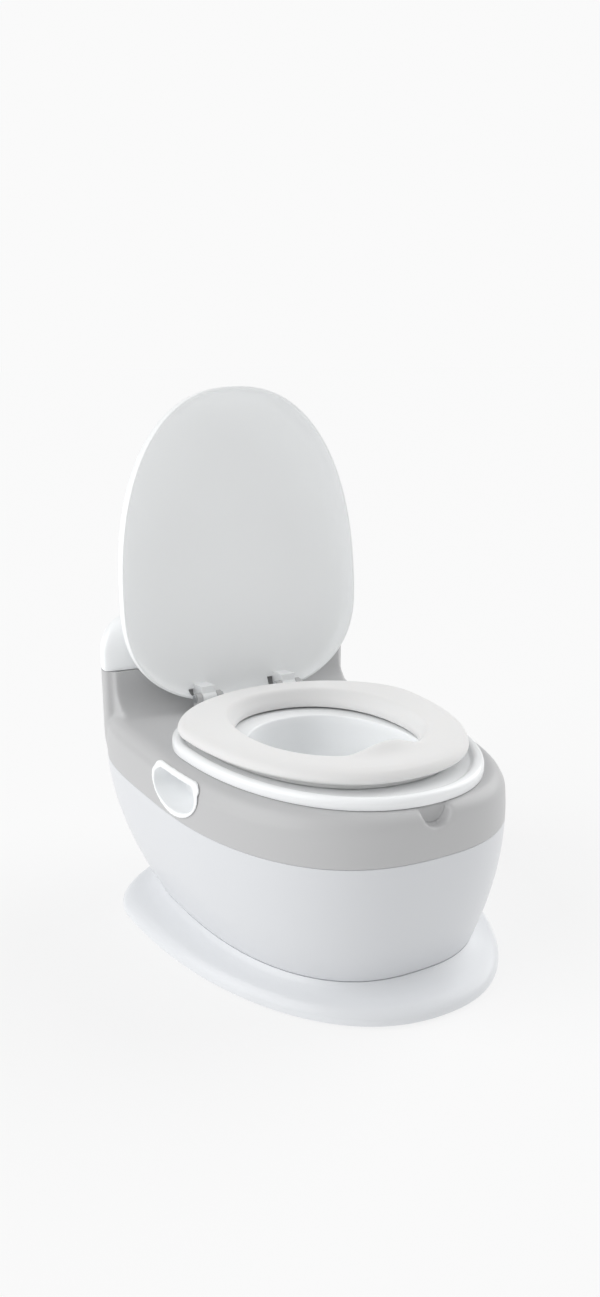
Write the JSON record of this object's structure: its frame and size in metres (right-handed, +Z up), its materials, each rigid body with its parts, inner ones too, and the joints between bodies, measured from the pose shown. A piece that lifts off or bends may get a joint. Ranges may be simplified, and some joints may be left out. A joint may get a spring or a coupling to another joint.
{
  "type": "potty training chair",
  "caption": "Toddler potty chair shaped like a toilet, with a lift-out bowl, padded seat ring, hinged lid and cistern box with a lift-off cap.",
  "frame": {"origin": "on the floor at the middle of the footprint, level with the underside of the feet", "axes": "+Z up, -Y is the way the sitter faces, +X is the sitter's left"},
  "size_m": [0.296, 0.4086, 0.4537],
  "materials": {
    "shell_white": "satin moulded",
    "shell_grey": "satin moulded",
    "lid_white": "satin moulded",
    "bowl_white": "gloss moulded",
    "seat_frame_white": "matte moulded",
    "seat_soft": "soft matte skin over foam",
    "foot_rubber": "matte",
    "fastener_steel": "plated"
  },
  "bodies": {
    "chair": {"base_flange": "shell_white", "lower_shell": "shell_white", "upper_body": "shell_grey", "recess_cup_left": "shell_white", "recess_cup_right": "shell_white", "hinge_pin_left": "fastener_steel", "hinge_pin_right": "fastener_steel", "foot_1": "foot_rubber", "foot_2": "foot_rubber", "foot_3": "foot_rubber", "foot_4": "foot_rubber", "base_screw_1": "fastener_steel", "base_screw_2": "fastener_steel", "base_screw_3": "fastener_steel", "base_screw_4": "fastener_steel", "body_screw_1": "fastener_steel", "body_screw_2": "fastener_steel", "body_screw_3": "fastener_steel", "body_screw_4": "fastener_steel"},
    "lid_body": {"lid": "lid_white"},
    "bowl_body": {"bowl": "bowl_white"},
    "seat_body": {"seat_frame": "seat_frame_white", "seat_cushion": "seat_soft"},
    "cap_body": {"tank_cap": "shell_white"}
  },
  "joints": [
    {"name": "lid_hinge", "type": "hinge", "parent": "chair", "child": "lid_body", "pos_m": [0, 0.11008, 0.1785], "axis": [1, 0, 0], "range_deg": [0, 93.5]},
    {"name": "bowl_lift", "type": "slide", "parent": "chair", "child": "bowl_body", "axis": [0, 0, 1], "range_m": [0, 0.15]},
    {"name": "seat_lift", "type": "slide", "parent": "bowl_body", "child": "seat_body", "axis": [0, 0, 1], "range_m": [0, 0.0645]},
    {"name": "tank_cap_lift", "type": "slide", "parent": "chair", "child": "cap_body", "axis": [0, 0.2756, 0.9613], "range_m": [0, 0.06]}
  ]
}
